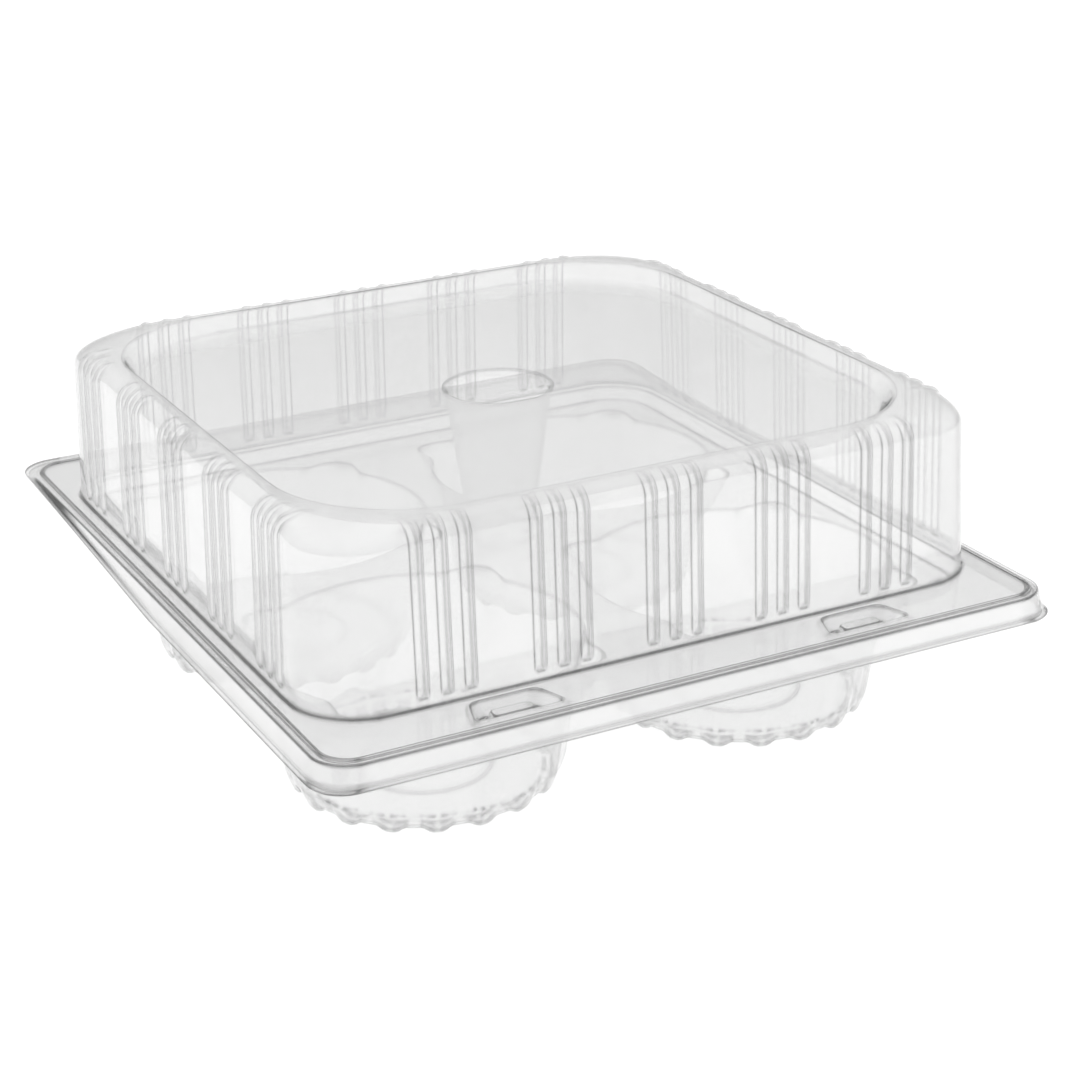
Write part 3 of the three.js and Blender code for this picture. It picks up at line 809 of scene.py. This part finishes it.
def clear_pet(name, body_hex, bend_shade_hex, body_share, grazing_share, bend_shade_share):
    """Clear sheet. `body_share` of its pale body shows where it faces the eye, `grazing_share` where
    it is looked along, and `bend_shade_share` more in tight bends and at the trimmed edge. There the
    body is painted in `bend_shade_hex`, as painted shade for the dark line that refraction draws."""
    material = bpy.data.materials.new(name)
    material.use_nodes = True
    tree = material.node_tree
    tree.nodes.clear()
    place = add_node(tree, "ShaderNodeTexCoord")
    draw = add_node(tree, "ShaderNodeTexNoise", {
        "Vector": place.outputs["Object"], "Scale": 1 / DRAW_WAVE, "Detail": 1.0, "Roughness": 0.4})
    thickness = add_node(tree, "ShaderNodeMapRange", {
        "Value": draw.outputs["Fac"], "From Min": 0.3, "From Max": 0.7,
        "To Min": (1 - UNEVEN) * body_share, "To Max": (1 + UNEVEN) * body_share}).outputs[0]
    facing = add_node(tree, "ShaderNodeLayerWeight", {"Blend": 0.5}).outputs["Facing"]
    along = add_node(tree, "ShaderNodeMath", {0: facing, 1: GRAZING_POWER}, operation="POWER").outputs[0]
    by_angle = add_node(tree, "ShaderNodeMath", {
        0: along, 1: grazing_share - body_share, 2: thickness}, operation="MULTIPLY_ADD").outputs[0]
    # Tight bends and the trimmed edge, where the bend attribute is 1, get more body in a dark grey: painted
    # shade standing in for the dark lines that refraction draws in clear sheet.
    bent = add_node(tree, "ShaderNodeAttribute", attribute_name="bend").outputs["Fac"]
    bend = add_node(tree, "ShaderNodeMath", {0: bent, 1: 2.0}, operation="POWER").outputs[0]
    share = add_node(tree, "ShaderNodeMath", {
        0: bend, 1: bend_shade_share, 2: by_angle}, operation="MULTIPLY_ADD", use_clamp=True).outputs[0]
    clear = add_node(tree, "ShaderNodeBsdfTransparent", {"Color": linear("#fefefe")})
    colour = add_node(tree, "ShaderNodeMix", {
        "Factor": bend, 6: linear(body_hex), 7: linear(bend_shade_hex)}, data_type="RGBA").outputs[2]
    body = add_node(tree, "ShaderNodeBsdfPrincipled", {
        "Base Color": colour, "Roughness": 0.06, "IOR": PET_IOR})
    seen = add_node(tree, "ShaderNodeMixShader", {0: share, 1: clear.outputs[0], 2: body.outputs[0]})
    steep = add_node(tree, "ShaderNodeMath", {0: facing, 1: MIRROR_POWER}, operation="POWER").outputs[0]
    at_front = ((PET_IOR - 1) / (PET_IOR + 1)) ** 2
    mirror = add_node(tree, "ShaderNodeMath", {
        0: steep, 1: 1 - at_front, 2: at_front}, operation="MULTIPLY_ADD").outputs[0]
    gloss = add_node(tree, "ShaderNodeBsdfGlossy", {"Color": linear("#ffffff"), "Roughness": 0.05})
    sheet = add_node(tree, "ShaderNodeMixShader", {0: mirror, 1: seen.outputs[0], 2: gloss.outputs[0]})

    # Light that only crosses the sheet on its way to something else meets a plain clear pane.
    ray = add_node(tree, "ShaderNodeLightPath")
    passing = add_node(tree, "ShaderNodeMath", {
        0: ray.outputs["Is Shadow Ray"], 1: ray.outputs["Is Diffuse Ray"]}, operation="MAXIMUM").outputs[0]
    pane = add_node(tree, "ShaderNodeBsdfTransparent", {"Color": linear("#fcfcfc")})
    surface = add_node(tree, "ShaderNodeMixShader", {0: passing, 1: sheet.outputs[0], 2: pane.outputs[0]})
    add_node(tree, "ShaderNodeOutputMaterial", {"Surface": surface.outputs[0]})
    return material


# Each material's second colour paints tight bends dark. The cut edge's own dark grey body is painted shade
# too, for the dark line that refraction draws along a cut sheet.
pet_sheet = clear_pet("clear_pet_sheet", SHEET_GREY, "#242424", 0.24, 0.5, 0.28)
pet_cut_edge_shade = clear_pet("clear_pet_cut_edge", "#3a3a3a", "#202020", 0.75, 0.9, 0.1)
for piece in (lid_sheet, base_sheet, hinge_fold):
    piece.data.materials.append(pet_sheet)
    piece.data.materials.append(pet_cut_edge_shade)
print("materials:", pet_sheet.name, pet_cut_edge_shade.name)

# %% [markdown]
# ## Seat the pieces on the bodies
#
# Each sheet rides on its body and stands for the CAD solid there. The fold strip bends between them.

# %% Ride and replace
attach(lid_sheet, "lid")
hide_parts("lid")
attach(base_sheet, "base")
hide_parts("base_tray")
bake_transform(hinge_fold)

# %% [markdown]
# ## Studio and camera
#
# The floor and the surroundings are white. Large soft lamps above and in front leave a faint shadow,
# and what the plastic mirrors is a little darker than the background, which draws its edges.

# %% Floor and surroundings
FLOOR_SIZE = 6.0                # in metres
FLOOR_GAP = 0.0002              # the floor lies this far below the feet, in metres


def plain_material(name, hex_colour, roughness):
    """An evenly coloured matt material, without a highlight."""
    material = bpy.data.materials.new(name)
    material.use_nodes = True
    shader = material.node_tree.nodes["Principled BSDF"]
    shader.inputs["Base Color"].default_value = linear(hex_colour)
    shader.inputs["Roughness"].default_value = roughness
    shader.inputs["Specular IOR Level"].default_value = 0.0
    return material


floor_mesh = bpy.data.meshes.new("floor")
half_floor = FLOOR_SIZE / 2
corner_signs = ((-1, -1), (1, -1), (1, 1), (-1, 1))
floor_mesh.from_pydata([(x * half_floor, y * half_floor, 0) for x, y in corner_signs], [], [(0, 1, 2, 3)])
floor = bpy.data.objects.new("floor", floor_mesh)
floor.location.z = base_low[2] * MM - FLOOR_GAP
bpy.context.scene.collection.objects.link(floor)
floor_mesh.materials.append(plain_material("white_floor", "#fafafa", 0.9))

world = bpy.data.worlds.new("studio")
bpy.context.scene.world = world
world.use_nodes = True
tree = world.node_tree
tree.nodes.clear()
ray = add_node(tree, "ShaderNodeLightPath")
background = add_node(tree, "ShaderNodeBackground", {"Color": linear("#ffffff"), "Strength": 1.0})
mirrored = add_node(tree, "ShaderNodeBackground", {"Color": linear("#c0c0c0"), "Strength": 1.0})
mixed = add_node(tree, "ShaderNodeMixShader", {
    0: ray.outputs["Is Glossy Ray"], 1: background.outputs[0], 2: mirrored.outputs[0]})
add_node(tree, "ShaderNodeOutputWorld", {"Surface": mixed.outputs[0]})
print("floor and world set")

# %% Lamps


def soft_lamp(name, place, aim, size, watts):
    """A square area lamp at `place`, turned towards `aim`, in metres."""
    data = bpy.data.lights.new(name, "AREA")
    data.shape = "SQUARE"
    data.size = size
    data.energy = watts
    lamp = bpy.data.objects.new(name, data)
    lamp.location = place
    lamp.rotation_euler = (Vector(aim) - Vector(place)).to_track_quat("-Z", "Y").to_euler()
    lamp.visible_glossy = False
    bpy.context.scene.collection.objects.link(lamp)
    return lamp


AIM = (0, 0, 0.04)
soft_lamp("overhead", (0.1, 0.3, 1.6), AIM, 1.4, 6)
soft_lamp("front_fill", (-1.2, -1.3, 0.9), AIM, 1.0, 3)
print("two soft lamps")

# %% Camera
VIEW_AZIMUTH = math.radians(-27.2444)
VIEW_ELEVATION = math.radians(22.0107)
VIEW_ROLL = math.radians(-1.1731)
CAMERA_PLACE = Vector((-0.25082, -0.50767, 0.26288))
LENS = 82.327                   # in mm, on a sensor 36 mm wide


def make_camera():
    """The camera that the photograph was taken with, as solved from the box's straight edges."""
    back = Vector((
        math.sin(VIEW_AZIMUTH) * math.cos(VIEW_ELEVATION),
        -math.cos(VIEW_AZIMUTH) * math.cos(VIEW_ELEVATION),
        math.sin(VIEW_ELEVATION),
    ))
    level_right = Vector((math.cos(VIEW_AZIMUTH), math.sin(VIEW_AZIMUTH), 0))
    level_up = back.cross(level_right)
    right = math.cos(VIEW_ROLL) * level_right + math.sin(VIEW_ROLL) * level_up
    up = -math.sin(VIEW_ROLL) * level_right + math.cos(VIEW_ROLL) * level_up
    data = bpy.data.cameras.new("camera")
    data.lens = LENS
    data.sensor_width = 36.0
    camera = bpy.data.objects.new("camera", data)
    turn = Matrix((right, up, back)).transposed()
    camera.matrix_world = Matrix.Translation(CAMERA_PLACE) @ turn.to_4x4()
    bpy.context.scene.collection.objects.link(camera)
    bpy.context.scene.camera = camera
    return camera


make_camera()
bpy.context.scene.view_settings.view_transform = "Standard"
cycles = bpy.context.scene.cycles
cycles.transparent_max_bounces = 64
cycles.max_bounces = 3
cycles.diffuse_bounces = 1
cycles.glossy_bounces = 1
print("camera", round(CAMERA_PLACE.length, 3), "m from the origin")
